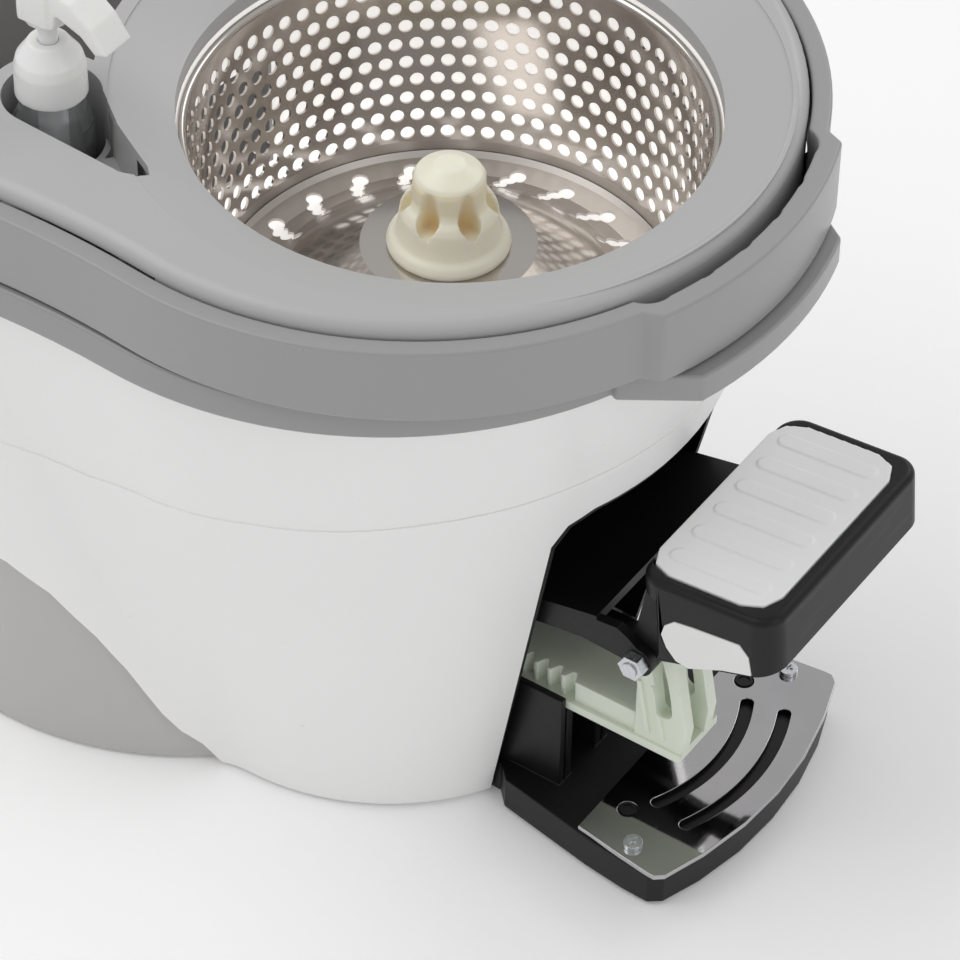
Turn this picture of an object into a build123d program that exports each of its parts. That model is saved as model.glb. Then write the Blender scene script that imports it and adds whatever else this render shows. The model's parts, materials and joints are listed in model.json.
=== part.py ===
from build123d import *
from math import atan2, cos, hypot, pi, radians, sin, sqrt, tan
import os

# Pedal spin-mop bucket. Everything is drawn about the basket axis, with +X
# towards the pedal and +Z up from the floor, and is moved by basket_x on export
# so that the origin ends up under the middle of the whole object.
basket_x = 54.6

# levels of the tub, deck and handle
waist_blend = 400.0
handle_top = 293.0
handle_bottom = 262.0
band_top = 261.0
band_bottom = 249.0
deck_top = 298.0
deck_skirt_bottom = 263.0
wall = 3.0

# basket and deck opening
opening_radius = 100.0
opening_z = 288.0
basket_rim_radius = 98.6
basket_rim_z = 277.0
basket_floor_radius = 90.0
basket_floor_z = 191.0
disc_radius = 33.4
disc_z = 222.0
sheet = 1.0
hole_radius = 2.75
hole_rows = 9
hole_columns = 72
slot_count = 24

# wringer well in the tub
well_radius = 112.0
well_floor_z = 183.0

# drive line
shaft_radius = 5.0
running_gap = 0.05
rack_module = 2.0
pinion_teeth = 10
pinion_radius = rack_module * pinion_teeth / 2
rack_pitch_y = -38.0
idler_x = 10.0
idler_y = rack_pitch_y - pinion_radius
gear_module = 1.25
wheel_teeth = 64
drive_teeth = 14
gear_low = 76.0
gear_high = 84.0

# pedal arm
pivot_x = 25.0
pivot_z = 105.0
pad_corner = 11.0
bolt_x = 121.5
bolt_z = 111.5
press_angle = radians(18.0)
rack_per_radian = 32.5
arm_half_width = 50.5
ear_thickness = 4.0

# soap bottle
soap_x = -113.0
soap_y = -89.0
pocket_radius = 18.5
pocket_floor_z = 205.0
bottle_radius = 15.0


def save(node, *solids):
    moved = [Pos(basket_x, 0, 0) * s for s in solids]
    shape = moved[0] if len(moved) == 1 else Compound(children=moved)
    export_step(shape, "parts/" + node + ".step")


def point_on(centre, radius, angle):
    return (centre + radius * cos(radians(angle)), radius * sin(radians(angle)))


def lobes(a, ra, b, rb, z=0.0, blend=waist_blend):
    """Plan outline of the two lobes, joined by hollow waists."""
    gap = a - b
    near = ra + blend
    far = rb + blend
    along = (gap * gap + near * near - far * far) / (2 * gap)
    depth = sqrt(near * near - along * along)
    wx = a - along
    pa = (a - along * ra / near, depth * ra / near)
    pb = (b + (gap - along) * rb / far, depth * rb / far)
    mx = (pa[0] + pb[0]) / 2 - wx
    my = (pa[1] + pb[1]) / 2 - depth
    away = hypot(mx, my)
    mid = (wx + mx * blend / away, depth + my * blend / away)
    def low(p):
        return (p[0], -p[1])
    edges = [
        ThreePointArc(low(pa), (a + ra, 0), pa),
        ThreePointArc(pa, mid, pb),
        ThreePointArc(pb, (b - rb, 0), low(pb)),
        ThreePointArc(low(pb), low(mid), low(pa)),
    ]
    return Pos(0, 0, z) * make_face(Wire(edges))


def block(x0, x1, y0, y1, z0, z1):
    return Pos((x0 + x1) / 2, (y0 + y1) / 2, (z0 + z1) / 2) * Box(x1 - x0, y1 - y0, z1 - z0)


def rod(x, y, z0, z1, radius):
    return Pos(x, y, (z0 + z1) / 2) * Cylinder(radius, z1 - z0)


def rod_y(x, z, y0, y1, radius):
    return Pos(x, (y0 + y1) / 2, z) * Rot(90, 0, 0) * Cylinder(radius, y1 - y0)


def prism_y(points, y0, y1):
    face = make_face(Polyline(*[(x, y0, z) for x, z in points], close=True))
    return extrude(face, amount=y1 - y0, dir=(0, 1, 0))


def prism_z(points, z0, z1):
    face = make_face(Polyline(*[(x, y, z0) for x, y in points], close=True))
    return extrude(face, amount=z1 - z0, dir=(0, 0, 1))


def turned(points):
    """Solid of revolution about the basket axis from (radius, z) points."""
    return revolve(make_face(Polyline(*[(r, 0, z) for r, z in points], close=True)), Axis.Z)


def body_loft(top_z, inset):
    """Outer skirt shape pulled in by inset, cut off at top_z."""
    low = lobes(-27, 98 - inset, -126, 132 - inset, 2, 30)
    high = lobes(-29, 151 - inset, -133, 154 - inset, 249, 300)
    full = loft([low, high], ruled=True)
    if top_z < 249:
        full = full & block(-400, 300, -300, 300, 0, top_z)
    return full


def arch_cutter(extra, start=30, low=-1):
    half_low = 50 + extra
    half_high = 61 + extra
    top = 175 + extra
    corner = 14
    pts = [(-half_low, low), (half_low, low), (half_high, top - corner), (half_high - 4, top - 4)]
    pts += [(half_high - corner, top), (-half_high + corner, top), (-half_high + 4, top - 4)]
    pts += [(-half_high, top - corner)]
    face = make_face(Polyline(*[(start, y, z) for y, z in pts], close=True))
    return extrude(face, amount=180 - start, dir=(1, 0, 0))


def arch_liner():
    """Dark tunnel behind the pedal arch; its bosses carry the pivot pin."""
    tunnel = arch_cutter(-0.4, 18) - arch_cutter(-3.2, 10, -30)
    tunnel = tunnel & body_loft(249, 1.2) & block(0, 200, -100, 100, 17.4, 200)
    for side in (-1, 1):
        tunnel += rod_y(pivot_x, pivot_z, min(side * 51.2, side * 57.8), max(side * 51.2, side * 57.8), 10)
    tunnel -= block(0, 54, -100, -45, 74.5, 87)
    tunnel -= block(0, 25, -100, -45, 61, 75)
    tunnel = tunnel & block(18, 200, -100, 100, 0, 200)
    return tunnel - rod_y(pivot_x, pivot_z, -70, 70, 4)


def outer_shell():
    skin = body_loft(249, 0) - body_loft(249, 2.4)
    wave = [(-400, -1), (-36, -1), (-44, 12), (-51, 19), (-57, 29), (-68, 53), (-78, 70)]
    wave += [(-94, 90), (-111, 101), (-140, 108), (-200, 112), (-400, 112)]
    crease = [(-400, 176), (-100, 170), (-70, 166), (-38, 171), (5, 182), (37, 187), (64, 192), (102, 196)]
    crease += [(200, 192), (200, 260), (-400, 260)]
    thinned = (body_loft(249, -1) - body_loft(249, 0.5)) & prism_y(crease, -200, 200)
    return skin - thinned - prism_y(wave, -200, 200) - arch_cutter(0)


def inner_tub():
    outer = body_loft(249, 3.0)
    collar = extrude(lobes(-20, 139.4, -131, 143.5, 248.6), 43.4)
    collar -= block(-45, 300, -300, 300, 284, 300)
    collar -= block(-130, -44, -150, -60, 284.5, 300)
    tub = outer + collar
    inner = body_loft(249, 6.0) & block(-400, 300, -300, 300, 0, 245.5)
    inner_high = extrude(lobes(-20, 136.4, -131, 140.5, 245), 60)
    hollow = inner + inner_high
    well_solid = rod(0, 0, 0, 400, well_radius + wall)
    basin = (hollow - well_solid) & block(-400, -45, -300, 300, 19, 400)
    under_wash = (hollow - well_solid) & block(-400, -45, -300, 300, -1, 16)
    front = (hollow - well_solid) & block(-42, 400, -300, 300, -1, 280)
    well = rod(0, 0, well_floor_z, 400, well_radius)
    under_well = inner & rod(0, 0, -1, well_floor_z - wall, well_radius)
    tub = tub - basin - under_wash - front - well - under_well - arch_cutter(0.6)
    tub = tub - rod(0, 0, 289.2, 400, 116)
    tub = tub - block(-130, -60, -35, 35, well_floor_z + 4, 240)
    boss = rod(0, 0, 160, 186, 13)
    boss += rod(0, 0, 186, 192, 10)
    tub = tub + boss
    tub = tub - rod(0, 0, 150, 200, 8)
    for side in (-1, 1):
        tub = tub + rod_y(-131, 277.5, min(side * 137, side * 143.7), max(side * 137, side * 143.7), 9)
        tub = tub - rod_y(-131, 277.5, min(side * 136, side * 147), max(side * 136, side * 147), 3)
    return tub


def rim_band():
    low = lobes(-29, 154.5, -134, 157, band_bottom)
    high = lobes(-26, 152.5, -133, 155, band_top)
    ring = loft([low, high], ruled=True)
    grip = [point_on(-15.5, 145, -26), point_on(-15.5, 165, -15.5), point_on(-15.5, 180, -8)]
    grip += [(x, -y) for x, y in reversed(grip)]
    swell = prism_z([(0, 0)] + grip, band_bottom, band_top) & rod(-15.5, 0, 240, 270, 162.5)
    ring = ring + swell
    bore = extrude(lobes(-20, 140.1, -131, 143.6, band_bottom - 1), 20)
    skirt = body_loft(249, 0)
    return ring - bore - skirt


def deck_cover():
    plate = extrude(lobes(-15.5, 143.5, -131, 143.5, 270), deck_top - 270)
    plate = fillet(plate.edges().group_by(Axis.Z)[-1], 6)
    plate = plate & block(-400, 300, -300, 300, 292.2, 400)
    skirt = extrude(lobes(-15.5, 143.5, -131, 143.5, deck_skirt_bottom), 29.4)
    skirt -= extrude(lobes(-15.5, 140.8, -131, 140.8, deck_skirt_bottom - 1), 60)
    skirt = skirt & block(-25, 300, -300, 300, 200, 400)
    keep = rod(0, 0, 200, 400, 130) + block(-45, 300, -300, 300, 200, 400)
    keep += rod(soap_x, soap_y, 200, 400, 24) + block(-128, -45, -145, -95, 200, 400)
    funnel = turned([(opening_radius, 281), (102.6, 281), (102.6, 286.4), (107, 288.2), (124, 293.6), (126, 295)]
                    + [(126, deck_top), (122, deck_top - 1.0), (106, 291), (opening_radius, opening_z)])
    bowl = turned([(0, 200), (124, 200), (124, 400), (0, 400)])
    deck = (plate & keep) - bowl + skirt + funnel
    cup = rod(soap_x, soap_y, pocket_floor_z - 2.5, 294, pocket_radius + 2.4)
    scoop_box = [(-113, -110.4), (-64, -113), (-56, -108), (-54, -101), (-60, -95), (-90, -84)]
    lip = prism_z(scoop_box, 272, 293) - rod(0, 0, 200, 400, 118)
    deck = deck + cup + lip
    tail = [(soap_x, soap_y - 18.5), (-66, -110), (-60, -108), (-58, -103), (-62, -99), (-84, -88)]
    tail += [(soap_x + 10, soap_y + 15)]
    return deck - rod(soap_x, soap_y, pocket_floor_z, 400, pocket_radius) - prism_z(tail, 276, 400)


def carrying_handle():
    solid = extrude(lobes(-16.5, 152.8, -131, 152.8, handle_bottom), handle_top - handle_bottom)
    grip = [point_on(-15.5, 140, -29), point_on(-15.5, 158.5, -21.5), point_on(-15.5, 175, -10)]
    grip += [(x, -y) for x, y in reversed(grip)]
    swell = prism_z([(0, 0)] + grip, handle_bottom, handle_top) & rod(-15.5, 0, 200, 400, 157.5)
    solid = solid + swell
    inner = extrude(lobes(-15.5, 144.5, -131, 144.5, handle_bottom - 1), 60)
    inner += lobes_room(handle_bottom - 1, 60)
    for i in range(6):
        x, y = point_on(-15.5, 139.0, -20 + 8 * i)
        inner += rod(x, y, handle_bottom - 1, 400, 10.5)
    solid = solid - inner
    groove = extrude(lobes(-15.5, 149.6, -131, 149.6, handle_bottom - 1), 27)
    groove -= extrude(lobes(-15.5, 147.4, -131, 147.4, handle_bottom - 2), 60)
    groove &= block(-110, 112, -200, 200, 200, 400)
    solid = solid - groove
    strap = block(-131, 300, -200, 200, 200, 400)
    eyes = rod_y(-131, 277.5, -158, 158, 15.5)
    solid = solid & (strap + eyes)
    return solid - rod_y(-131, 277.5, -200, 200, 5 + running_gap)


def lobes_room(z, height):
    """Room inside the grip bulge, 22 degrees each side of the pedal end."""
    grip = [point_on(-15.5, 120, -25), point_on(-15.5, 149.5, -21), point_on(-15.5, 170, -12)]
    grip += [(x, -y) for x, y in reversed(grip)]
    return prism_z([(0, 0)] + grip, z, z + height) & rod(-15.5, 0, z, z + height, 149.0)


def handle_pins():
    pins = []
    for side in (-1, 1):
        a = side * 144.25
        b = side * 156.0
        shank = rod_y(-131, 277.5, min(a, b), max(a, b), 5)
        c = side * 154.0
        head = rod_y(-131, 277.5, min(b, c), max(b, c), 9)
        core = rod_y(-131, 277.5, min(side * 138.0, a), max(side * 138.0, a), 3)
        pins.append(core + shank + head)
    return pins


def base_housing():
    outline = [(30, -48), (61, -48.8), (67, -55), (110, -62.5), (128, -64.5), (140, -64.8)]
    outline += [(145, -61), (151, -44), (155.6, -22), (157, 0)]
    outline += [(x, -y) for x, y in reversed(outline[:-1])]
    foot = prism_z(outline, 2, 17.4)
    inside = [(30, -44), (61, -45), (70, -51), (110, -58.5), (128, -60.5), (137, -60.5)]
    inside += [(141, -58), (147, -42), (151, -20), (152.4, 0)]
    inside += [(x, -y) for x, y in reversed(inside[:-1])]
    foot -= prism_z(inside, 1, 14.4)
    floor = rod(-27, 0, 4, 8, 84) & block(-200, 45, -200, 200, 0, 20)
    base = foot + floor
    for y in (-30, 0, 30):
        base += block(40, 148, y - 1.5, y + 1.5, 4, 14.5)
    base += rod(0, 0, 8, 36, 12)
    base += rod(idler_x, idler_y, 8, 58, 6.5)
    for y in (-41, -20):
        base += block(-28, 86, y, y + 4, 8, 57.6)
    base += block(-28, 86, -14.6, -11.6, 8, 73)
    base += block(34, 86, -45.3, -42.3, 8, 64)
    base += block(-28, 86, -42.3, -11.6, 6, 12)
    for y in (-57, 57):
        base += rod(127.8, y, 3, 17.4, 4.5)
    for y in (-50, 50):
        base += rod(140, y, 2, 15, 5.5)
    base -= rod(0, 0, 20, 40, 7)
    base -= rod(idler_x, idler_y, 20, 60, 3)
    for y in (-57, 57):
        base -= rod(127.8, y, 5, 20, 1.6)
    return base


def tread_plate():
    outline = [(105, -60.8), (125, -63.8), (139, -65.6), (143, -65.8), (146.4, -63), (152.6, -44.5)]
    outline += [(157.2, -22), (158.7, 0)]
    outline += [(x, -y) for x, y in reversed(outline[:-1])]
    plate = prism_z(outline, 17.6, 20)
    plate -= prism_z([(104, -59), (140, -63.5), (144, -61.5), (150, -44), (154.6, -22), (156, 0)]
                     + [(154.6, 22), (150, 44), (144, 61.5), (140, 63.5), (104, 59)], 17, 18.8)
    for apex, radius, half in ((131.5, 72, 27), (146.6, 89, 24)):
        centre = apex - radius
        ring = rod(centre, 0, 10, 30, radius + 2.7) - rod(centre, 0, 10, 30, radius - 2.7)
        tip = [point_on(centre, 130, -half), point_on(centre, 130, half)]
        wedge = prism_z([(centre, 0)] + tip, 10, 30)
        plate -= ring & wedge
        for side in (-1, 1):
            x, y = point_on(centre, radius, side * half)
            plate -= rod(x, y, 10, 30, 2.7)
    for y in (-42.5, 42.5):
        plate -= rod(116.1, y, 10, 30, 4)
    for y in (-57, 57):
        plate -= rod(127.8, y, 10, 30, 1.8)
    return plate


def tread_screws():
    screws = []
    for y in (-57, 57):
        head = rod(127.8, y, 20, 22.2, 3.8)
        head -= block(127.8 - 2, 127.8 + 2, y - 0.4, y + 0.4, 21.2, 23)
        head -= block(127.8 - 0.4, 127.8 + 0.4, y - 2, y + 2, 21.2, 23)
        screws.append(head + rod(127.8, y, 6, 20, 1.6))
    return screws


def hole_plugs():
    plugs = []
    for y in (-42.5, 42.5):
        plug = rod(116.1, y, 17.4, 19.6, 3.7) + rod(116.1, y, 19.6, 20.4, 3.4)
        plugs.append(plug - rod(116.1, y, 19.9, 21, 2.4))
    return plugs


def rubber_feet():
    feet = []
    for x, y in ((140, -50), (140, 50), (-78, -92), (-78, 92), (-195, -98), (-195, 98)):
        foot = rod(x, y, 0, 2, 5)
        feet.append(foot)
    return feet


def foot_pads():
    """Small lugs that carry the feet under the tub rim."""
    pads = []
    for x, y in ((-78, -92), (-78, 92), (-195, -98), (-195, 98)):
        pads.append(rod(x, y, 2, 16.0, 5.5))
    return pads


def flat_sided(low_radius, high_radius, sides):
    """Closed frustum with flat sides, as tall as the basket."""
    turn = [2 * pi * (i + 0.5) / sides for i in range(sides)]
    low = [(low_radius * cos(a), low_radius * sin(a), basket_floor_z) for a in turn]
    high = [(high_radius * cos(a), high_radius * sin(a), basket_rim_z) for a in turn]
    faces = [make_face(Polyline(*low, close=True)), make_face(Polyline(*high, close=True))]
    for i in range(sides):
        j = (i + 1) % sides
        faces.append(make_face(Polyline(low[i], low[j], high[j], high[i], close=True)))
    return Solid(Shell(faces))


def basket_wall():
    wall_solid = flat_sided(basket_floor_radius, basket_rim_radius, hole_columns)
    wall_solid -= flat_sided(basket_floor_radius - sheet, basket_rim_radius - sheet, hole_columns)
    drills = []
    slope = (basket_rim_radius - basket_floor_radius) / (basket_rim_z - basket_floor_z)
    for row in range(hole_rows):
        z = basket_floor_z + 11.5 + 8.1 * row
        radius = basket_floor_radius + slope * (z - basket_floor_z)
        for column in range(hole_columns):
            angle = 360.0 / hole_columns * (column + 0.5 * (row % 2))
            drill = Rot(0, 0, angle) * Pos(radius, 0, z) * Rot(0, 90, 0) * Cylinder(hole_radius, 6)
            drills.append(drill)
    return wall_solid - drills


def basket_rim():
    ring = Pos(0, 0, basket_rim_z + 1.2) * Torus(basket_rim_radius - 0.4, 1.8)
    return ring - turned([(basket_rim_radius - 1.15, 260), (basket_rim_radius + 0.05, 260)]
                         + [(basket_rim_radius + 0.05, basket_rim_z)]
                         + [(basket_rim_radius - 1.15, basket_rim_z)])


def basket_floor():
    r = basket_floor_radius - 1.05
    z = basket_floor_z
    top = [(r, z + 3), (r - 2, z + 1), (78, z), (70, z + 2.5), (56, z + 13), (disc_radius, disc_z)]
    top += [(9.9, disc_z)]
    low = [(9.9, disc_z - 1.2), (disc_radius - 0.4, disc_z - 1.2), (55.2, z + 11.8), (69.6, z + 1.2)]
    low += [(78, z - 1.2), (r - 1.6, z - 0.2), (r, z + 1.6)]
    floor = turned(top + low)
    cutters = []
    for i in range(slot_count):
        angle = 360.0 / slot_count * i
        parts = Pos(80.5, 0, z + 8) * Cylinder(3.3, 40)
        parts += Pos(76.5, 3.0, z + 8) * Cylinder(3.1, 40)
        parts += Pos(72, 4.6, z + 8) * Cylinder(2.8, 40)
        parts += Pos(67, 5.0, z + 8) * Cylinder(2.3, 40)
        cutters.append(Rot(0, 0, angle) * parts)
    return floor - cutters


def hub_collar():
    """Metal boss that ties the basket floor to the shaft."""
    boss = rod(0, 0, 196, disc_z - 1.3, 16) + rod(0, 0, disc_z - 1.3, disc_z, 9.8)
    return boss - rod(0, 0, 190, 230, shaft_radius)


def mop_hub():
    profile = [(5, 0), (23.2, 0), (23.6, 2), (22.4, 4.6), (20.2, 6.4), (19.3, 10), (18.6, 16.6), (17.2, 19.6)]
    profile += [(15.2, 21.4), (14.4, 24), (14.2, 31), (12.6, 34), (9, 36), (5.6, 38), (0, 38.4), (0, 34.2), (5, 34.2)]
    hub = turned([(r, disc_z + z) for r, z in profile])
    for i in range(6):
        flute = Pos(16.6, 0, disc_z + 26) * Rot(0, 12, 0) * Cylinder(4.4, 26)
        hub -= Rot(0, 0, 60 * i + 34) * flute
    return hub


def drive_shaft():
    return rod(0, 0, 24, disc_z + 34, shaft_radius)


def upper_bearing():
    return rod(0, 0, 161, 191, 8) - rod(0, 0, 150, 200, shaft_radius + running_gap)


def water_seal():
    ring = rod(0, 0, 192.2, 194.6, 8.6) - rod(0, 0, 190, 196, shaft_radius + 0.4)
    return ring + (rod(0, 0, 192, 192.2, 9.4) - rod(0, 0, 190, 196, shaft_radius + 0.4))


def lower_bearing():
    return rod(0, 0, 20, 36, 7) - rod(0, 0, 23.5, 40, shaft_radius + running_gap)


def involute(base, radius):
    turn = sqrt(max((radius / base) ** 2 - 1, 0))
    return turn - atan2(turn, 1)


def gear_outline(teeth, module, pressure, tip, root, thin, phase):
    pitch = module * teeth / 2
    base = pitch * cos(pressure)
    start = max(base, root + 0.05)
    half = pi / (2 * teeth) - thin / (2 * pitch) + involute(base, pitch)
    points = []
    for k in range(teeth):
        middle = phase + 2 * pi * k / teeth
        flank = []
        for i in range(7):
            r = start + (tip - start) * i / 6
            flank.append((r, half - involute(base, r)))
        points.append((root, middle - flank[0][1]))
        points += [(r, middle - a) for r, a in flank]
        points += [(r, middle + a) for r, a in reversed(flank)]
        points.append((root, middle + flank[0][1]))
    return [(r * cos(a), r * sin(a)) for r, a in points]


def rack_plan():
    """Toothed plate of the rack seen from above, teeth towards -Y."""
    pitch = pi * rack_module
    lean = tan(radians(25))
    high = 1.6
    deep = 2.3
    half = pitch / 4 - 0.1
    first = idler_x - pitch / 2 - pitch * 3
    points = []
    for i in range(16):
        x = first + i * pitch
        if x > 88:
            break
        points.append((x - half - deep * lean, rack_pitch_y + deep))
        points.append((x - half + high * lean, rack_pitch_y - high))
        points.append((x + half - high * lean, rack_pitch_y - high))
        points.append((x + half + deep * lean, rack_pitch_y + deep))
    points.append((points[-1][0] + 1.5, rack_pitch_y + deep))
    points.append((points[-1][0] + 2.0, -40.0))
    points.append((118, -40.0))
    points.append((118, -15))
    points.append((points[0][0] - 2.0, -15))
    points.append((points[0][0] - 2.0, rack_pitch_y + deep))
    return points


def pin_path(steps, extra=0.0):
    """Centre of the bolt seen from the sliding rack, for the cam slot."""
    dx = bolt_x - pivot_x
    dz = bolt_z - pivot_z
    path = []
    for i in range(steps + 1):
        turn = -extra + (press_angle + 2 * extra) * i / steps
        x = pivot_x + dx * cos(turn) + dz * sin(turn) + rack_per_radian * turn
        z = pivot_z - dx * sin(turn) + dz * cos(turn)
        path.append((x, z))
    return path


def cam_slot(y0, y1, radius):
    path = pin_path(8, radians(0.3))
    slot = None
    for a, b in zip(path, path[1:]):
        length = hypot(b[0] - a[0], b[1] - a[1])
        nx = -(b[1] - a[1]) / length * radius
        nz = (b[0] - a[0]) / length * radius
        quad = [(a[0] + nx, a[1] + nz), (b[0] + nx, b[1] + nz), (b[0] - nx, b[1] - nz), (a[0] - nx, a[1] - nz)]
        piece = prism_y(quad, y0, y1) + rod_y(a[0], a[1], y0, y1, radius)
        slot = piece if slot is None else slot + piece
    return slot + rod_y(path[-1][0], path[-1][1], y0, y1, radius)


def drive_rack():
    plan = rack_plan()
    left = min(x for x, y in plan)
    body = prism_z(plan, 62, 72)
    body += prism_z([(left, -42), (137.4, -42), (137.4, -15), (left, -15)], 58, 62)
    cheek = [(116, 60), (137.4, 60), (139, 74), (133.6, 104), (129.5, 118), (118, 118), (116, 112)]
    for y0 in (-41, -25):
        body += prism_y(cheek, y0, y0 + 6)
    body += block(116, 118.4, -41, -19, 60, 112)
    for x0 in (121, 127.5):
        lean = [(x0, 66), (x0 + 2.5, 66), (x0 - 2.5, 92), (x0 - 4.5, 92)]
        body += prism_y(lean, -42, -40.9)
    return body - cam_slot(-44, -10, 3.3)


def idler_pinion():
    teeth = gear_outline(pinion_teeth, rack_module, radians(25), pinion_radius + 1.7, pinion_radius - 2.0, 0.2,
                         pi / 2)
    solid = prism_z(teeth, 62.5, 71.6) + rod(0, 0, 71.6, gear_low, 7.5)
    return Pos(idler_x, idler_y, 0) * (solid - rod(0, 0, 50, 100, 3 + running_gap))


def idler_wheel():
    toward = atan2(-idler_y, -idler_x)
    pitch = gear_module * wheel_teeth / 2
    teeth = gear_outline(wheel_teeth, gear_module, radians(20), pitch + 1.0, pitch - 1.7, 0.14, toward)
    solid = prism_z(teeth, gear_low, gear_high)
    solid -= rod(0, 0, gear_low + 5, gear_high + 1, 34) - rod(0, 0, gear_low, gear_high + 2, 9)
    for i in range(6):
        solid -= Rot(0, 0, 60 * i) * rod(22, 0, gear_low - 1, gear_high + 1, 7.5)
    return Pos(idler_x, idler_y, 0) * (solid - rod(0, 0, 50, 100, 3 + running_gap))


def idler_axle():
    pin = rod(idler_x, idler_y, 21, gear_high + 1, 3)
    return pin + rod(idler_x, idler_y, gear_high + 0.4, gear_high + 2, 5)


def drive_gear():
    toward = atan2(idler_y, idler_x)
    pitch = gear_module * drive_teeth / 2
    teeth = gear_outline(drive_teeth, gear_module, radians(20), pitch + 1.25, pitch - 1.45, 0.14,
                         toward + pi / drive_teeth)
    solid = prism_z(teeth, gear_low - 0.4, gear_high + 0.4)
    solid += rod(0, 0, gear_high + 0.4, gear_high + 4, 12)
    solid = solid + ratchet_ring(gear_high + 4, 1.6, 1)
    return solid - rod(0, 0, 60, 120, shaft_radius + running_gap)


def ratchet_ring(z, height, direction):
    """Eight saw teeth on the end of a sleeve."""
    ring = None
    for i in range(8):
        tooth = prism_y([(-3.4, 0), (3.4, 0), (3.4, direction * height)], -11.5, -7.5)
        tooth = Rot(0, 0, 45 * i) * tooth
        ring = tooth if ring is None else ring + tooth
    return Pos(0, 0, z) * ring


def clutch_collar():
    """Ratchet half that is pressed on the shaft."""
    low = gear_high + 4 + 1.6 + 0.5
    ring = rod(0, 0, low + 1.6, low + 8, 12)
    teeth = ratchet_ring(low + 1.6, 1.6, -1)
    return (ring + teeth) - rod(0, 0, 60, 120, shaft_radius)


def shaft_clip():
    ring = rod(0, 0, gear_low - 3, gear_low - 1.4, 7.5) - rod(0, 0, 60, 90, shaft_radius)
    return ring - block(0, 10, -2, 2, 60, 90)


def pedal_arm():
    slope = radians(10.5)
    end_x = 103.0
    rise = (end_x - pivot_x) * tan(slope)
    top = [(pivot_x - 3, pivot_z + 3), (end_x, pivot_z + rise + 5.5), (end_x, pivot_z + rise + 0.5)]
    top += [(pivot_x - 3, pivot_z - 2)]
    arm = prism_y(top, -arm_half_width, arm_half_width)
    web = [(pivot_x, pivot_z - 6), (pivot_x, pivot_z), (end_x, pivot_z + rise + 1), (end_x, pivot_z + rise - 8)]
    for y0 in (-arm_half_width, arm_half_width - ear_thickness):
        arm += prism_y(web, y0, y0 + ear_thickness)
        ear = [(98, pivot_z + rise - 9), (98, pivot_z + rise + 3), (112, pivot_z + rise + 4.5)]
        ear += [(117, pivot_z + rise + 2), (127.5, bolt_z + 2), (115.5, bolt_z - 2)]
        arm += prism_y(ear, y0, y0 + ear_thickness)
        arm += rod_y(bolt_x, bolt_z, y0, y0 + ear_thickness, 6.6)
    arm += rod_y(pivot_x, pivot_z, -arm_half_width, arm_half_width, 8)
    arm -= rod_y(pivot_x, pivot_z, -12.5, 13, 12.6) - rod_y(pivot_x, pivot_z, -12.6, 13.1, 8)
    arm -= rod_y(pivot_x, pivot_z, -60, 60, 4 + running_gap)
    for y0 in (-60, 40):
        arm -= rod_y(bolt_x, bolt_z, y0, y0 + 20, 3)
    return arm


def on_pedal(shape):
    """Place a shape drawn flat onto the tilted pedal plane."""
    return Pos(121, 0, 157) * Rot(0, -5, 0) * shape


def rounded_plan(x0, x1, half, corner, z0, z1):
    c = corner
    pts = [(x0, -half + c), (x0 + c * 0.3, -half + c * 0.3), (x0 + c, -half), (x1 - c, -half)]
    pts += [(x1 - c * 0.3, -half + c * 0.3), (x1, -half + c), (x1, half - c), (x1 - c * 0.3, half - c * 0.3)]
    pts += [(x1 - c, half), (x0 + c, half), (x0 + c * 0.3, half - c * 0.3), (x0, half - c)]
    return prism_z(pts, z0, z1)


def pedal_frame():
    shell = Pos(29.5, 0, -36) * extrude(RectangleRounded(59, 108, 10), 39)
    shell = fillet(shell.edges().group_by(Axis.Z)[-1], 3)
    shell -= Pos(29.5, 0, -40) * extrude(RectangleRounded(52, 100.8, 6), 36)
    shell -= rounded_plan(-1, 53.5, 49, pad_corner + 0.5, -1, 5)
    shell -= prism_y([(-5, -50), (-5, -37), (10, -36), (65, -21), (65, -50)], -60, 60)
    shell -= block(-1, 4, -60, 60, -50, -7)
    shell -= block(-1, 8.6, -60, 60, -50, -7.01)
    for side in (-1, 1):
        y = side * 54
        shell -= side_insert_shape(min(y - side * 1.6, y + side), max(y - side * 1.6, y + side))
    frame = on_pedal(shell)
    for side in (-1, 1):
        y0 = min(side * 42.8, side * 46.3)
        tab = [(115.5, bolt_z), (127.5, bolt_z), (132.5, 133), (131, 153), (122.5, 153)]
        frame += prism_y(tab, y0, y0 + 3.5)
        frame += rod_y(bolt_x, bolt_z, y0, y0 + 3.5, 6.6)
        y1 = min(side * 46.2, side * 50.45)
        frame += prism_y([(130.6, 135), (134, 135), (134, 154), (130.6, 153.6)], y1, y1 + 4.25)
        frame -= rod_y(bolt_x, bolt_z, min(side * 40, side * 60), max(side * 40, side * 60), 3)
    return frame


def side_insert_shape(y0, y1):
    pts = [(10.4, -22), (12, -17), (16.4, -13.2), (24, -12.4), (34, -11.9), (44.6, -11.4), (48.4, -16)]
    pts += [(49.4, -24.4), (36.5, -27.8), (22, -33.8), (16.4, -32.6), (12.4, -27.6)]
    return prism_y(pts, y0, y1)


def side_inserts():
    made = []
    for side in (-1, 1):
        a = side * 52.45
        b = side * 54.2
        made.append(on_pedal(side_insert_shape(min(a, b), max(a, b))))
    return made


def foot_pad():
    pad = rounded_plan(0.3, 53.2, 48.7, pad_corner, -1, 3.6)
    for i in range(6):
        y = -37.5 + 15 * i
        ridge = block(9, 44, y - 3.4, y + 3.4, 3.5, 4.2) + rod(9, y, 3.5, 4.2, 3.4) + rod(44, y, 3.5, 4.2, 3.4)
        pad += ridge
    return on_pedal(pad)


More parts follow.
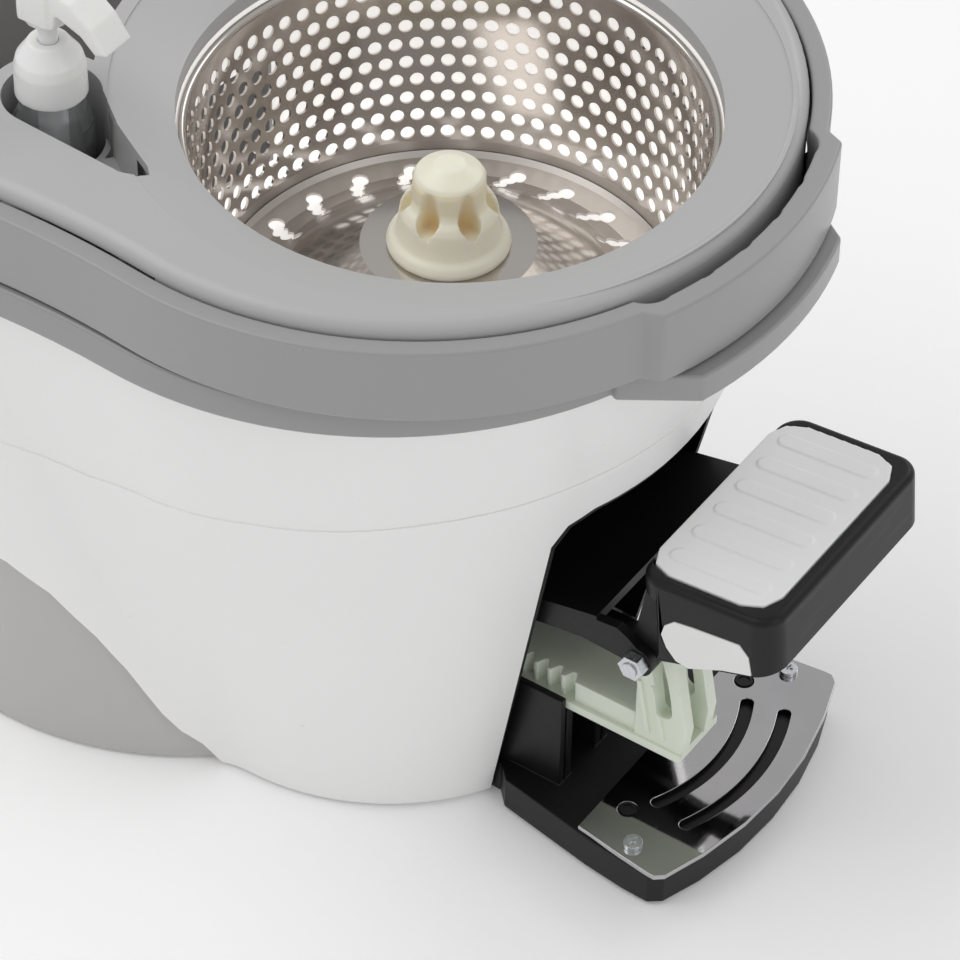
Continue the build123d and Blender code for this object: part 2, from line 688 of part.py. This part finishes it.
def cam_bolt():
    shank = rod_y(bolt_x, bolt_z, -56.2, 50.5, 3)
    head = Pos(bolt_x, 52.6, bolt_z) * Rot(90, 0, 0) * extrude(RegularPolygon(5.5, 6), 2.1, both=True)
    return shank + head


def lock_nut():
    nut = Pos(bolt_x, -53, bolt_z) * Rot(90, 0, 0) * extrude(RegularPolygon(5.6, 6), 2.4, both=True)
    return nut - rod_y(bolt_x, bolt_z, -60, -40, 3)


def pivot_pin():
    pin = rod_y(pivot_x, pivot_z, -60, 58, 4)
    return pin + rod_y(pivot_x, pivot_z, 58, 60, 6.5)


def pivot_clip():
    return rod_y(pivot_x, pivot_z, -59.6, -58, 6.5) - rod_y(pivot_x, pivot_z, -70, -50, 4)


def return_spring():
    path = Helix(pitch=2.6, height=20, radius=10.6)
    wire = Pos(pivot_x, 0, 0) * sweep(Plane(path @ 0, z_dir=path % 0) * Circle(0.9), path=path)
    turned_coil = Pos(pivot_x, 10, pivot_z) * Rot(90, 0, 0) * Pos(-pivot_x, 0, 0) * wire
    return turned_coil


def soap_bottle():
    r = bottle_radius
    z = pocket_floor_z + 0.4
    outer = [(0, z), (r - 2, z), (r, z + 2), (r, z + 82), (r - 2.4, z + 88), (9.6, z + 92), (9.6, z + 103)]
    inner = [(8.2, z + 103), (8.2, z + 91.4), (r - 3.4, z + 87), (r - 1.2, z + 81.4), (r - 1.2, z + 3)]
    inner += [(r - 3, z + 1.4), (0, z + 1.4)]
    return Pos(soap_x, soap_y, 0) * turned(outer + inner)


def pump_cap():
    z = pocket_floor_z + 0.4 + 94.5
    cap = turned([(9.8, z), (13.4, z), (13.2, z + 12), (12.2, z + 16), (9, z + 20.5), (7.4, z + 23)]
                 + [(3.65, z + 23), (3.65, z + 19), (5.6, z + 18), (5.6, z + 10.2), (9.8, z + 10.2)])
    return Pos(soap_x, soap_y, 0) * cap


def pump_barrel():
    z = pocket_floor_z + 0.4
    barrel = turned([(4.3, z + 62), (5.5, z + 62), (5.5, z + 103.4), (8, z + 103.4), (8, z + 104.6)]
                    + [(4.3, z + 104.6)])
    cone = turned([(1.6, z + 56), (2.6, z + 56), (5.5, z + 62), (1.6, z + 62)])
    return Pos(soap_x, soap_y, 0) * (barrel + cone)


def dip_tube():
    z = pocket_floor_z + 0.4
    tube = rod(0, 0, z + 4, z + 56, 2.6) - rod(0, 0, z + 3, z + 60, 1.6)
    return Pos(soap_x, soap_y, 0) * tube


def pump_spring():
    z = pocket_floor_z + 0.4
    path = Helix(pitch=3.4, height=25.5, radius=3.3)
    coil = Pos(0, 0, z + 64) * sweep(Plane(path @ 0, z_dir=path % 0) * Circle(0.45), path=path)
    return Pos(soap_x, soap_y, 0) * coil


def pump_stem():
    z = pocket_floor_z + 0.4
    stem = rod(0, 0, z + 92, z + 128, 3.6) + rod(0, 0, z + 90, z + 92, 3.95)
    return Pos(soap_x, soap_y, 0) * (stem - rod(0, 0, z + 80, z + 126, 1.8))


def pump_head():
    z = pocket_floor_z + 0.4
    side = [(-9, z + 129), (-10, z + 136), (-9, z + 144), (6, z + 147), (17, z + 144), (26, z + 137)]
    side += [(32.5, z + 128), (27.5, z + 126), (21, z + 132), (10, z + 136), (8.5, z + 129)]
    head = prism_y(side, -8.5, 8.5) & (rod(0, 0, 200, 400, 10.5) + block(0, 40, -7.4, 7.4, 200, 400))
    head += rod(0, 0, z + 127, z + 136, 8)
    head -= rod(0, 0, z + 120, z + 128, 3.6)
    return Pos(soap_x, soap_y, 0) * head


def base_screws():
    screws = []
    for x, y in ((-80, -52), (-80, 52), (-27, -80), (-27, 80)):
        screws.append(rod(x, y, 2.4, 4, 4) + rod(x, y, 4, 12, 1.5))
    return screws


def screw_towers():
    towers = []
    for x, y in ((-80, -52), (-80, 52), (-27, -80), (-27, 80)):
        towers.append(rod(x, y, 8, 181, 4.5) - rod(x, y, 4, 13, 1.5))
    return towers


os.makedirs("parts", exist_ok=True)

tub = inner_tub()
for lug in foot_pads() + screw_towers():
    tub = tub + lug
save("inner_tub", tub)
save("outer_shell", outer_shell())
save("arch_liner", arch_liner())
save("rim_band", rim_band())
save("deck_cover", deck_cover())
save("carrying_handle", carrying_handle())
save("handle_pins", *handle_pins())
base = base_housing()
for screw in base_screws():
    base = base - screw
save("base_housing", base)
save("tread_plate", tread_plate())
save("tread_screws", *tread_screws())
save("hole_plugs", *hole_plugs())
save("rubber_feet", *rubber_feet())
save("base_screws", *base_screws())
save("basket_wall", basket_wall())
save("basket_rim", basket_rim())
save("basket_floor", basket_floor())
save("hub_collar", hub_collar())
save("mop_hub", mop_hub())
save("drive_shaft", drive_shaft())
save("upper_bearing", upper_bearing())
save("water_seal", water_seal())
save("lower_bearing", lower_bearing())
save("drive_rack", drive_rack())
save("idler_pinion", idler_pinion())
save("idler_wheel", idler_wheel())
save("idler_axle", idler_axle())
save("drive_gear", drive_gear())
save("clutch_collar", clutch_collar())
save("shaft_clip", shaft_clip())
save("pedal_arm", pedal_arm())
save("pedal_frame", pedal_frame())
save("side_inserts", *side_inserts())
save("foot_pad", foot_pad())
save("cam_bolt", cam_bolt())
save("lock_nut", lock_nut())
save("pivot_pin", pivot_pin())
save("pivot_clip", pivot_clip())
save("return_spring", return_spring())
save("soap_bottle", soap_bottle())
save("pump_cap", pump_cap())
save("pump_barrel", pump_barrel())
save("dip_tube", dip_tube())
save("pump_spring", pump_spring())
save("pump_stem", pump_stem())
save("pump_head", pump_head())
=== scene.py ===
import json
from math import radians
import bpy
from mathutils import Matrix, Vector


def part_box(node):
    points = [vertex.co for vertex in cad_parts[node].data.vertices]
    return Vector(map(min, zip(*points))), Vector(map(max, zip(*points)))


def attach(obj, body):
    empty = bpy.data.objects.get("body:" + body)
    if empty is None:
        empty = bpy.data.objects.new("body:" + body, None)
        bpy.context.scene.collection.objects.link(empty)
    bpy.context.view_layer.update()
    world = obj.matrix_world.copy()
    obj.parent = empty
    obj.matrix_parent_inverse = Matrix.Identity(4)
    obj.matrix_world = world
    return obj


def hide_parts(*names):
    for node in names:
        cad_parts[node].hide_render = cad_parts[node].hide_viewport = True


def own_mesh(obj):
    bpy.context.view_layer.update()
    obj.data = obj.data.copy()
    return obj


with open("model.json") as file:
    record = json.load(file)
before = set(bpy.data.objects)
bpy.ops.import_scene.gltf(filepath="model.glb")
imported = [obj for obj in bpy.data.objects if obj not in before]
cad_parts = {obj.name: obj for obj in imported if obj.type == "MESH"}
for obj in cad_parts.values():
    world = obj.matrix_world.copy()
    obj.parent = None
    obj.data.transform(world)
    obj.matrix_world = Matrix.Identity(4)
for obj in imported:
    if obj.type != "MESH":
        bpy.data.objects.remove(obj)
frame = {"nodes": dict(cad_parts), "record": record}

scene = bpy.context.scene
nodes = frame["nodes"]
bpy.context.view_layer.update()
bodyOf = {n: b for b, members in frame["record"]["behaviour"]["bodies"].items() for n in members}
slotOf = {s["node"]: s["material_slot"] for s in frame["record"]["subparts"]}
hubLow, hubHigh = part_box("mop_hub")
basketX = (hubLow.x + hubHigh.x) / 2      # the basket's axis stands here, at y = 0
print("frame loaded:", len(nodes), "nodes")


class Value:
    # a socket that can be added and multiplied like a number
    def __init__(self, look, socket):
        self.look = look
        self.socket = socket

    def __add__(self, other):
        return self.look.maths("ADD", self, other)

    def __mul__(self, other):
        return self.look.maths("MULTIPLY", self, other)

    def __sub__(self, other):
        return self.look.maths("SUBTRACT", self, other)

    def __rsub__(self, other):
        return self.look.maths("SUBTRACT", other, self)

    def __pow__(self, other):
        return self.look.maths("POWER", self, other)

    __radd__ = __add__
    __rmul__ = __mul__


class Look:
    def __init__(self, name, **fixed):
        self.material = bpy.data.materials.new(name)
        self.material.use_nodes = True
        self.tree = self.material.node_tree
        self.shader = self.tree.nodes["Principled BSDF"]
        for socket, value in fixed.items():
            self.shader.inputs[socket.replace("_", " ")].default_value = value

    def node(self, kind, settings=None, sockets=None, out=0):
        made = self.tree.nodes.new(kind)
        for key, value in (settings or {}).items():
            if key == "stops":
                ramp = made.color_ramp.elements
                while len(ramp) < len(value):
                    ramp.new(0.5)
                for stop, (place, shade) in zip(ramp, value):
                    stop.position = place
                    stop.color = (shade, shade, shade, 1)
            else:
                setattr(made, key, value)
        for key, value in (sockets or {}).items():
            if isinstance(value, Value):
                self.tree.links.new(value.socket, made.inputs[key])
            else:
                made.inputs[key].default_value = value
        return Value(self, made.outputs[out])

    def maths(self, operation, a, b=0.0):
        return self.node("ShaderNodeMath", {"operation": operation}, {0: a, 1: b})

    def place(self, stretch=(1, 1, 1), x=0.0):
        # Object coordinates, stretched, with the point (x, 0, 0) as their centre
        spot = self.node("ShaderNodeTexCoord", out=3)
        return self.node("ShaderNodeMapping", None,
                         {"Vector": spot, "Location": (-x * stretch[0], 0, 0), "Scale": stretch})

    def apart(self, spot):
        # the three coordinates of a place, and its distance from the z axis
        parts = self.node("ShaderNodeSeparateXYZ", None, {"Vector": spot})
        x, y, z = (Value(self, parts.socket.node.outputs[i]) for i in range(3))
        return x, y, z, (x * x + y * y) ** 0.5

    def noise(self, where, scale, detail=3.0, rough=0.5):
        return self.node("ShaderNodeTexNoise", None,
                         {"Vector": where, "Scale": scale, "Detail": detail, "Roughness": rough})

    def ramp(self, value, low, high, lowShade=0.0, highShade=1.0):
        stops = [(low, lowShade), (high, highShade)]
        return self.node("ShaderNodeValToRGB", {"stops": stops}, {"Fac": value})

    def mix(self, factor, a, b):
        return self.node("ShaderNodeMix", {"data_type": "RGBA"}, {0: factor, 6: a, 7: b}, out=2)

    def bump(self, height, distance, strength=1.0):
        return self.node("ShaderNodeBump", None,
                         {"Height": height, "Distance": distance, "Strength": strength})

    def finish(self, colour=None, rough=None, normal=None):
        for key, value in (("Base Color", colour), ("Roughness", rough), ("Normal", normal)):
            if isinstance(value, Value):
                self.tree.links.new(value.socket, self.shader.inputs[key])
            elif value is not None:
                self.shader.inputs[key].default_value = value
        return self.material


def shade(colour, by):
    return tuple(min(1, c * by) for c in colour[:3]) + (1,)


def mouldedPlastic(name, p, **fixed):
    # clouded pigment, spark grain, and rubbed streaks that are a little glossier
    look = Look(name, **fixed)
    look.shader.inputs["Specular IOR Level"].default_value = p.get("shine", 0.5)
    spot = look.place()
    cloud = look.noise(spot, p["cloud"], 2)
    grain = look.noise(spot, p["grain"], 4, 0.6)
    rubbed = look.ramp(look.noise(look.place((9, 3, 30)), 8, 3), 0.55, 0.75)
    colour = look.mix(cloud, shade(p["colour"], 0.96), shade(p["colour"], 1.03))
    if "well" in p:
        # painted light: inside the basket the tub's wall is painted near-white and made to emit painted
        # light, so the holes look lit
        x, y, z, radius = look.apart(look.place(x=basketX))
        above = look.maths("GREATER_THAN", z, p["wellFloor"])
        inside = look.maths("LESS_THAN", radius, p["wellRadius"]) * above
        colour = look.mix(inside, colour, p["well"] + (1,))
        paintedGlow = look.mix(inside, (0, 0, 0, 1), tuple(p["paintedGlow"] * c for c in p["well"]) + (1,))
        look.tree.links.new(paintedGlow.socket, look.shader.inputs["Emission Color"])
        look.shader.inputs["Emission Strength"].default_value = 1.0
    if "paintedPocketShade" in p:
        # painted shade: the hub is painted darker and browner near its axis, low down where the flutes
        # sink in
        x, y, z, radius = look.apart(look.place(x=basketX))
        shadedFlutes = look.ramp(radius * 10, p["pocketRadius"][0], p["pocketRadius"][1], 1, 0)
        shadedFlutes = shadedFlutes * look.maths("LESS_THAN", z, p["pocketTop"])
        colour = look.mix(shadedFlutes, colour, p["paintedPocketShade"] + (1,))
    rough = grain * 0.10 + (p["rough"] - 0.05) - rubbed * p["rubbed"]
    return look.finish(colour, rough, look.bump(grain, p["depth"]))


def rolledSteel(name, p, **fixed):
    # fine lines round the basket's axis, a faint mottle from drawing, and a duller pressed floor
    look = Look(name, Metallic=1.0, **fixed)
    spot = look.place(x=basketX)
    x, y, z, radius = look.apart(spot)
    turn = look.maths("ARCTAN2", y, x)
    lines = look.node("ShaderNodeCombineXYZ", None,
                      {"X": turn * p["along"], "Y": z * p["across"], "Z": radius * p["across"]})
    fine = look.noise(lines, 1.0, 3, 0.6)
    mottle = look.noise(spot, p["mottle"], 2)
    colour = look.mix(mottle, shade(p["colour"], 0.90), shade(p["colour"], 1.05))
    pressed = look.maths("LESS_THAN", z, p["pressedBelow"])
    rough = fine * p["spread"] + (p["rough"] - p["spread"] / 2) + mottle * 0.06 + pressed * p["duller"]
    return look.finish(colour, rough, look.bump(fine, p["depth"]))


def platedMetal(name, p, **fixed):
    # plating with fine wandering scratches and a spangle of lighter grains
    look = Look(name, Metallic=1.0, **fixed)
    spot = look.place()
    spangle = look.noise(spot, p["spangle"], 3)
    scratch = look.ramp(look.noise(look.place(p["stretch"]), p["scratches"], 2), 0.60, 0.66)
    colour = look.mix(spangle, shade(p["colour"], 0.92), shade(p["colour"], 1.04))
    rough = spangle * p["spread"] + p["rough"] + scratch * p["spread"]
    return look.finish(colour, rough, look.bump(scratch, p["depth"]))


plastics = {
    # tub_plastic: the near-white colour and the emission inside the basket are painted light
    "tub_plastic": {"colour": (0.50, 0.49, 0.48), "rough": 0.36, "cloud": 6, "grain": 900,
                    "depth": 0.00001, "rubbed": 0.06, "well": (0.88, 0.87, 0.86),
                    "wellRadius": 0.1135, "wellFloor": 0.181, "paintedGlow": 0.55},
    "shell_plastic": {"colour": (0.90, 0.90, 0.895), "rough": 0.34, "cloud": 5, "grain": 900,
                      "depth": 0.00001, "rubbed": 0.06},
    "deck_plastic": {"colour": (0.47, 0.47, 0.47), "rough": 0.36, "cloud": 7, "grain": 1000,
                     "depth": 0.00001, "rubbed": 0.06},
    "band_plastic": {"colour": (0.33, 0.33, 0.33), "rough": 0.34, "cloud": 7, "grain": 1000,
                     "depth": 0.00001, "rubbed": 0.06},
    "handle_plastic": {"colour": (0.34, 0.34, 0.34), "rough": 0.34, "cloud": 7, "grain": 1000,
                       "depth": 0.00001, "rubbed": 0.06},
    "black_plastic": {"colour": (0.008, 0.008, 0.008), "rough": 0.40, "cloud": 20, "grain": 1500,
                      "depth": 0.00002, "rubbed": 0.10, "shine": 0.3},
    "white_plastic": {"colour": (0.86, 0.86, 0.85), "rough": 0.42, "cloud": 20, "grain": 1400,
                      "depth": 0.00001, "rubbed": 0.05},
    "pad_plastic": {"colour": (0.93, 0.94, 0.93), "rough": 0.48, "cloud": 20, "grain": 1600,
                    "depth": 0.00003, "rubbed": 0.06},
    "acetal": {"colour": (0.80, 0.80, 0.77), "rough": 0.40, "cloud": 30, "grain": 900, "depth": 0.00001,
               "rubbed": 0.05},
    "rubber": {"colour": (0.02, 0.02, 0.02), "rough": 0.75, "cloud": 40, "grain": 1200, "depth": 0.00003,
               "rubbed": 0.05},
}
waxy = {
    # hub_plastic: its darker, browner colour low in the flutes is painted shade
    "hub_plastic": {"colour": (0.92, 0.89, 0.74), "rough": 0.34, "cloud": 40, "grain": 700,
                    "depth": 0.00001, "rubbed": 0.04, "paintedPocketShade": (0.80, 0.62, 0.34),
                    "pocketRadius": (0.11, 0.155), "pocketTop": 0.2545},
    "nylon": {"colour": (0.76, 0.82, 0.70), "rough": 0.32, "cloud": 30, "grain": 700, "depth": 0.00001,
              "rubbed": 0.04},
    "pump_plastic": {"colour": (0.88, 0.88, 0.86), "rough": 0.26, "cloud": 40, "grain": 900,
                     "depth": 0.00001, "rubbed": 0.04},
}
platings = {
    "zinc_steel": {"colour": (0.66, 0.68, 0.70), "rough": 0.20, "spread": 0.18, "spangle": 700,
                   "stretch": (1, 1, 1), "scratches": 500, "depth": 0.00001},
    "spring_steel": {"colour": (0.45, 0.45, 0.46), "rough": 0.25, "spread": 0.15, "spangle": 500,
                     "stretch": (1, 1, 1), "scratches": 500, "depth": 0.00001},
    "mirror_plate": {"colour": (0.56, 0.55, 0.56), "rough": 0.03, "spread": 0.04, "spangle": 60,
                     "stretch": (1, 0.3, 1), "scratches": 1400, "depth": 0.0000005},
}
finishes = {}
for key, p in plastics.items():
    finishes[key] = mouldedPlastic(key, p)
wax = {"Subsurface_Weight": 0.35, "Subsurface_Radius": (0.006, 0.006, 0.004), "Subsurface_Scale": 1.0}
for key, p in waxy.items():
    finishes[key] = mouldedPlastic(key, p, **wax)
for key, p in platings.items():
    finishes[key] = platedMetal(key, p)
steel = {"colour": (0.60, 0.565, 0.53), "rough": 0.11, "spread": 0.06, "along": 6.0, "across": 2600,
         "mottle": 30, "depth": 0.000003, "pressedBelow": 0.1985, "duller": 0.26}
turnedSteel = {"colour": (0.60, 0.60, 0.61), "rough": 0.28, "spread": 0.14, "along": 3.0, "across": 1800,
               "mottle": 60, "depth": 0.00001, "pressedBelow": 0.0, "duller": 0.0}
finishes["stainless"] = rolledSteel("stainless", steel)
finishes["machined_steel"] = rolledSteel("machined_steel", turnedSteel)


def clearPlastic(name, p):
    # blown bottle: clear wall, a little wavy, faintly hazed
    look = Look(name, Transmission_Weight=0.92, IOR=1.46, Alpha=0.9)
    spot = look.place()
    wave = look.noise(spot, p["wave"], 2)
    haze = look.noise(spot, p["haze"], 4)
    colour = look.mix(haze, shade(p["colour"], 0.96), shade(p["colour"], 1))
    return look.finish(colour, haze * 0.10 + p["rough"], look.bump(wave, p["depth"]))


bottleWall = {"colour": (0.90, 0.92, 0.92), "rough": 0.02, "wave": 60, "haze": 300, "depth": 0.0002}
finishes["clear_plastic"] = clearPlastic("clear_plastic", bottleWall)
print("finishes made:", len(finishes))


def onlySelect(piece):
    for other in bpy.context.selected_objects:
        other.select_set(False)
    piece.select_set(True)
    bpy.context.view_layer.objects.active = piece


def useModifier(piece, kind, settings):
    onlySelect(piece)
    modifier = piece.modifiers.new(kind.lower(), kind)
    for key, value in settings.items():
        setattr(modifier, key, value)
    bpy.ops.object.modifier_apply(modifier=modifier.name)


merging = {"gap": 0.000002, "flat": 0.3}     # metres, degrees


def copyOf(node):
    # a copy of a node's mesh, with its points merged and its flat faces whole again
    source = nodes[node]
    piece = bpy.data.objects.new(node + "_fine", source.data.copy())
    scene.collection.objects.link(piece)
    piece.data.materials.clear()
    piece.data.materials.append(finishes[slotOf[node]])
    onlySelect(piece)
    bpy.ops.object.mode_set(mode="EDIT")
    bpy.ops.mesh.select_all(action="SELECT")
    bpy.ops.mesh.remove_doubles(threshold=merging["gap"])
    bpy.ops.mesh.dissolve_limited(angle_limit=radians(merging["flat"]))
    bpy.ops.object.mode_set(mode="OBJECT")
    return piece


def standFor(piece, node):
    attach(piece, bodyOf[node])
    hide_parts(node)


def eased(node, p):
    # every hard edge gets the small radius that a mould or a press leaves
    piece = copyOf(node)
    useModifier(piece, "BEVEL", {"width": p["radius"], "segments": p["steps"], "limit_method": "ANGLE",
                                 "angle_limit": radians(p["angle"]), "use_clamp_overlap": p["clamp"]})
    bpy.ops.object.shade_smooth_by_angle(angle=radians(p["smooth"]))
    useModifier(piece, "WEIGHTED_NORMAL", {"keep_sharp": True, "weight": 60})
    standFor(piece, node)
    return piece


def softened(node, p):
    # small mouldings whose edges all run together
    piece = copyOf(node)
    useModifier(piece, "REMESH", {"mode": "VOXEL", "voxel_size": p["voxel"], "use_smooth_shade": True})
    useModifier(piece, "SMOOTH", {"factor": 0.5, "iterations": p["passes"]})
    standFor(piece, node)
    return piece


easedParts = {
    "outer_shell": {"radius": 0.0005, "steps": 2, "angle": 30, "clamp": True, "smooth": 35},
    "rim_band": {"radius": 0.0012, "steps": 3, "angle": 30, "clamp": False, "smooth": 35},
    "deck_cover": {"radius": 0.0006, "steps": 2, "angle": 30, "clamp": True, "smooth": 35},
    "carrying_handle": {"radius": 0.0012, "steps": 3, "angle": 30, "clamp": False, "smooth": 35},
    "pedal_frame": {"radius": 0.0006, "steps": 2, "angle": 30, "clamp": False, "smooth": 35},
    "tread_plate": {"radius": 0.0003, "steps": 2, "angle": 30, "clamp": True, "smooth": 35},
    "base_housing": {"radius": 0.0005, "steps": 2, "angle": 30, "clamp": False, "smooth": 35},
    "drive_rack": {"radius": 0.0003, "steps": 2, "angle": 30, "clamp": False, "smooth": 35},
    "pedal_arm": {"radius": 0.0003, "steps": 2, "angle": 30, "clamp": True, "smooth": 35},
    "side_inserts": {"radius": 0.0003, "steps": 2, "angle": 30, "clamp": False, "smooth": 35},
    "lock_nut": {"radius": 0.0003, "steps": 2, "angle": 30, "clamp": False, "smooth": 35},
    "tread_screws": {"radius": 0.0002, "steps": 2, "angle": 30, "clamp": True, "smooth": 35},
}
for node, p in easedParts.items():
    eased(node, p)
    print("eased", node)

softParts = {
    "mop_hub": {"voxel": 0.0006, "passes": 6},
    "foot_pad": {"voxel": 0.00045, "passes": 1},
    "pump_head": {"voxel": 0.0005, "passes": 6},
    "pump_cap": {"voxel": 0.0005, "passes": 2},
}
for node, p in softParts.items():
    softened(node, p)
    print("softened", node)


def closingSpring(node):
    # a copy of the pump's spring, with a mesh of its own, rides on the spring's body
    piece = copyOf(node)
    standFor(piece, node)
    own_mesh(piece)


closingSpring("pump_spring")
print("pump spring follows the stem")

drilledWall = {"slope": 0.10, "facing": 0.9}


def roundWall(node, p):
    # the drilled wall is flat between its rows of holes, and shades as one round sheet
    piece = copyOf(node)
    bpy.ops.object.shade_smooth()
    mesh = piece.data
    shaded = []
    for face in mesh.polygons:
        for corner in face.loop_indices:
            spot = mesh.vertices[mesh.loops[corner].vertex_index].co
            outward = Vector((spot.x - basketX, spot.y, 0)).normalized()
            outward.z = -p["slope"]
            outward.normalize()
            along = face.normal.dot(outward)
            if abs(along) > p["facing"]:
                shaded.append(outward if along > 0 else -outward)
            else:
                shaded.append(face.normal)
    mesh.normals_split_custom_set(shaded)
    standFor(piece, node)


roundWall("basket_wall", drilledWall)
print("drilled wall shaded round")

for node, part in nodes.items():
    part.data.materials.clear()
    part.data.materials.append(finishes[slotOf[node]])
print("finishes on every node")


studio = {"floor": 6.0, "floorShade": 0.95, "floorGlow": 0.10, "sky": 0.56, "lens": 168.75,
          "eye": (0.72594, -1.05926, 1.31037), "turn": 33.835, "tilt": 46.692, "roll": 0.994}


def makeFloor(p):
    bpy.ops.mesh.primitive_plane_add(size=p["floor"], location=(0, 0, 0))
    floor = bpy.context.object
    floor.name = "studio_floor"
    look = Look("studio_paper", Roughness=0.8,
                Emission_Color=(1, 1, 1, 1), Emission_Strength=p["floorGlow"])
    floor.data.materials.append(look.finish((p["floorShade"],) * 3 + (1,)))


lamps = {
    "top_softbox": {"size": (1.8, 1.4), "power": 14, "spot": (-0.9, -0.5, 1.8), "aim": (0, 0, 0.2)},
    "right_softbox": {"size": (0.5, 1.4), "power": 2.5, "spot": (1.5, -0.2, 1.0), "aim": (0, 0, 0.2)},
    "back_softbox": {"size": (1.2, 0.5), "power": 4, "spot": (0.2, 1.5, 1.2), "aim": (0, 0, 0.2)},
}


def makeLight(name, p):
    lamp = bpy.data.lights.new(name, "AREA")
    lamp.shape = "RECTANGLE"
    lamp.size, lamp.size_y = p["size"]
    lamp.energy = p["power"]
    holder = bpy.data.objects.new(name, lamp)
    scene.collection.objects.link(holder)
    holder.location = p["spot"]
    towards = Vector(p["aim"]) - Vector(p["spot"])
    holder.rotation_euler = towards.to_track_quat("-Z", "Y").to_euler()


def makeCamera(p):
    lens = bpy.data.cameras.new("studio_camera")
    lens.lens = p["lens"]
    lens.sensor_width = 36
    lens.clip_start, lens.clip_end = 0.05, 30
    holder = bpy.data.objects.new("studio_camera", lens)
    scene.collection.objects.link(holder)
    x, y, z = p["eye"]
    place = Matrix.Translation((x + basketX, y, z))
    aim = Matrix.Rotation(radians(p["turn"]), 4, "Z") @ Matrix.Rotation(radians(p["tilt"]), 4, "X")
    holder.matrix_world = place @ aim @ Matrix.Rotation(radians(p["roll"]), 4, "Z")
    scene.camera = holder


for other in bpy.context.selected_objects:
    other.select_set(False)
makeFloor(studio)
for name, p in lamps.items():
    makeLight(name, p)
sky = bpy.data.worlds.new("studio_sky")
sky.use_nodes = True
sky.node_tree.nodes["Background"].inputs["Color"].default_value = (1, 1, 1, 1)
sky.node_tree.nodes["Background"].inputs["Strength"].default_value = studio["sky"]
scene.world = sky
makeCamera(studio)
scene.view_settings.view_transform = "Standard"
print("studio ready")
